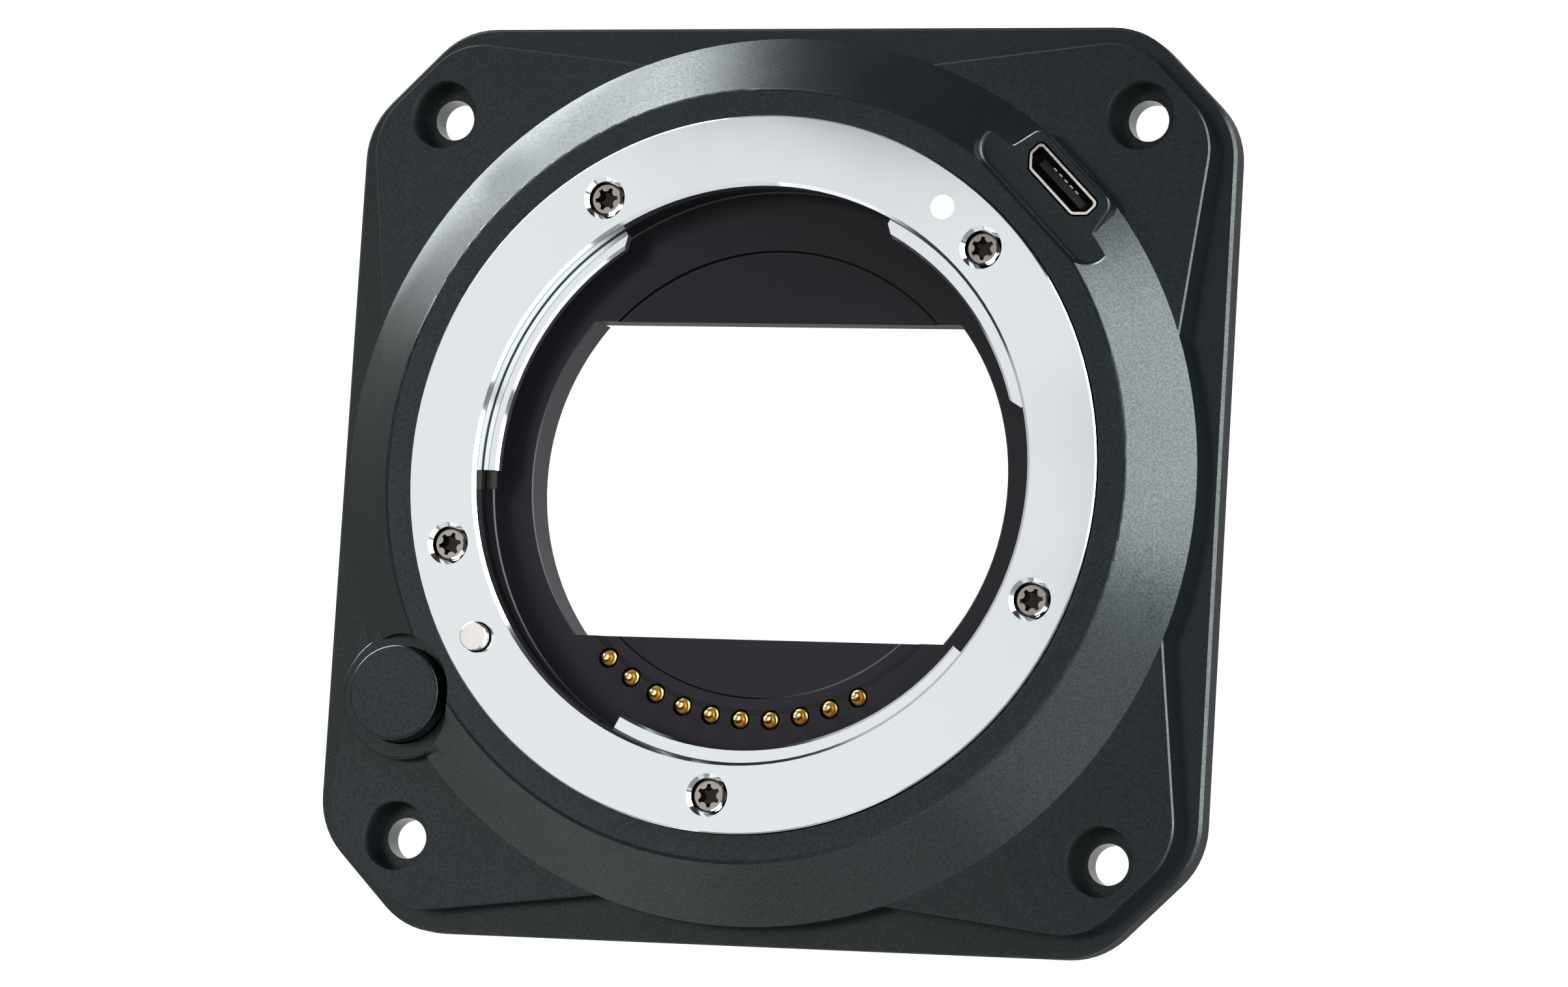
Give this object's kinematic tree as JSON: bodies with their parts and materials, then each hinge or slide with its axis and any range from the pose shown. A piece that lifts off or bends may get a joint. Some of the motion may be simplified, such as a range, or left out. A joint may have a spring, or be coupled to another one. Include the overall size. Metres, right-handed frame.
{
  "type": "lens mount adapter",
  "caption": "Square camera plate with a raised cone, bayonet lens ring, spring contacts, lock pin with release button, data socket and a wide light window.",
  "frame": {"origin": "on the optical axis, at the plate's flat back face", "axes": "+Z along the optical axis out of the bayonet ring towards the lens, +Y towards the plate's top edge, +X to the right seen from the lens side"},
  "size_m": [0.074, 0.074, 0.0099],
  "materials": {
    "anodised_black": "fine bead-blasted black anodising on aluminium",
    "bayonet_chrome": "satin chrome on machined brass",
    "dark_nickel": "dark nickel plate",
    "white_mark": "flush white enamel",
    "baffle_black": "matt black, slightly violet",
    "insulator_black": "moulded, matt",
    "board_green": "solder mask",
    "flex_amber": "polyimide film",
    "contact_gold": "bright gold plate",
    "spring_steel": "drawn wire and strip",
    "stainless": "ground, fine",
    "usb_steel": "bright folded sheet",
    "chip_black": "moulded"
  },
  "bodies": {
    "mount": {"housing": "anodised_black", "rear_cover": "anodised_black", "bayonet_ring": "bayonet_chrome", "bayonet_screws": "dark_nickel", "cover_screws": "dark_nickel", "board_screws": "dark_nickel", "index_dot": "white_mark", "light_baffle": "baffle_black", "contact_block": "insulator_black", "usb_tongue": "insulator_black", "contact_board": "board_green", "circuit_board": "board_green", "contact_flex": "flex_amber", "button_spring": "spring_steel", "lock_pin_spring": "spring_steel", "usb_shell": "usb_steel", "controller_chip": "chip_black", "leaf_spring_1": "spring_steel", "leaf_spring_2": "spring_steel", "leaf_spring_3": "spring_steel", "contact_barrel_01": "contact_gold", "contact_spring_01": "spring_steel", "contact_barrel_02": "contact_gold", "contact_spring_02": "spring_steel", "contact_barrel_03": "contact_gold", "contact_spring_03": "spring_steel", "contact_barrel_04": "contact_gold", "contact_spring_04": "spring_steel", "contact_barrel_05": "contact_gold", "contact_spring_05": "spring_steel", "contact_barrel_06": "contact_gold", "contact_spring_06": "spring_steel", "contact_barrel_07": "contact_gold", "contact_spring_07": "spring_steel", "contact_barrel_08": "contact_gold", "contact_spring_08": "spring_steel", "contact_barrel_09": "contact_gold", "contact_spring_09": "spring_steel", "contact_barrel_10": "contact_gold", "contact_spring_10": "spring_steel", "usb_contact_1": "spring_steel", "usb_contact_2": "spring_steel", "usb_contact_3": "spring_steel", "usb_contact_4": "spring_steel", "usb_contact_5": "spring_steel"},
    "button_group": {"release_button": "anodised_black", "lifter_plate": "dark_nickel", "lifter_screw": "dark_nickel"},
    "lock_pin": {"lock_pin": "stainless"},
    "contact_01": {"contact_pin_01": "contact_gold"},
    "contact_02": {"contact_pin_02": "contact_gold"},
    "contact_03": {"contact_pin_03": "contact_gold"},
    "contact_04": {"contact_pin_04": "contact_gold"},
    "contact_05": {"contact_pin_05": "contact_gold"},
    "contact_06": {"contact_pin_06": "contact_gold"},
    "contact_07": {"contact_pin_07": "contact_gold"},
    "contact_08": {"contact_pin_08": "contact_gold"},
    "contact_09": {"contact_pin_09": "contact_gold"},
    "contact_10": {"contact_pin_10": "contact_gold"}
  },
  "joints": [
    {"name": "release_button_press", "type": "slide", "parent": "mount", "child": "button_group", "axis": [0, 0, -1], "range_m": [0, 0.00105], "stiffness_N_per_m": 900, "springref_m": -0.0006, "deforming": ["button_spring"]},
    {"name": "lock_pin_slide", "type": "slide", "parent": "mount", "child": "lock_pin", "axis": [0, 0, -1], "range_m": [0, 0.00105], "stiffness_N_per_m": 500, "springref_m": -0.0006, "deforming": ["lock_pin_spring"]},
    {"name": "contact_01_slide", "type": "slide", "parent": "mount", "child": "contact_01", "axis": [0, 0, -1], "range_m": [0, 0.0006], "stiffness_N_per_m": 400, "springref_m": -0.0004, "deforming": ["contact_spring_01"]},
    {"name": "contact_02_slide", "type": "slide", "parent": "mount", "child": "contact_02", "axis": [0, 0, -1], "range_m": [0, 0.0006], "stiffness_N_per_m": 400, "springref_m": -0.0004, "deforming": ["contact_spring_02"]},
    {"name": "contact_03_slide", "type": "slide", "parent": "mount", "child": "contact_03", "axis": [0, 0, -1], "range_m": [0, 0.0006], "stiffness_N_per_m": 400, "springref_m": -0.0004, "deforming": ["contact_spring_03"]},
    {"name": "contact_04_slide", "type": "slide", "parent": "mount", "child": "contact_04", "axis": [0, 0, -1], "range_m": [0, 0.0006], "stiffness_N_per_m": 400, "springref_m": -0.0004, "deforming": ["contact_spring_04"]},
    {"name": "contact_05_slide", "type": "slide", "parent": "mount", "child": "contact_05", "axis": [0, 0, -1], "range_m": [0, 0.0006], "stiffness_N_per_m": 400, "springref_m": -0.0004, "deforming": ["contact_spring_05"]},
    {"name": "contact_06_slide", "type": "slide", "parent": "mount", "child": "contact_06", "axis": [0, 0, -1], "range_m": [0, 0.0006], "stiffness_N_per_m": 400, "springref_m": -0.0004, "deforming": ["contact_spring_06"]},
    {"name": "contact_07_slide", "type": "slide", "parent": "mount", "child": "contact_07", "axis": [0, 0, -1], "range_m": [0, 0.0006], "stiffness_N_per_m": 400, "springref_m": -0.0004, "deforming": ["contact_spring_07"]},
    {"name": "contact_08_slide", "type": "slide", "parent": "mount", "child": "contact_08", "axis": [0, 0, -1], "range_m": [0, 0.0006], "stiffness_N_per_m": 400, "springref_m": -0.0004, "deforming": ["contact_spring_08"]},
    {"name": "contact_09_slide", "type": "slide", "parent": "mount", "child": "contact_09", "axis": [0, 0, -1], "range_m": [0, 0.0006], "stiffness_N_per_m": 400, "springref_m": -0.0004, "deforming": ["contact_spring_09"]},
    {"name": "contact_10_slide", "type": "slide", "parent": "mount", "child": "contact_10", "axis": [0, 0, -1], "range_m": [0, 0.0006], "stiffness_N_per_m": 400, "springref_m": -0.0004, "deforming": ["contact_spring_10"]}
  ],
  "couplings": [
    {"joint": "lock_pin_slide", "follows": "release_button_press", "ratio": 1}
  ]
}
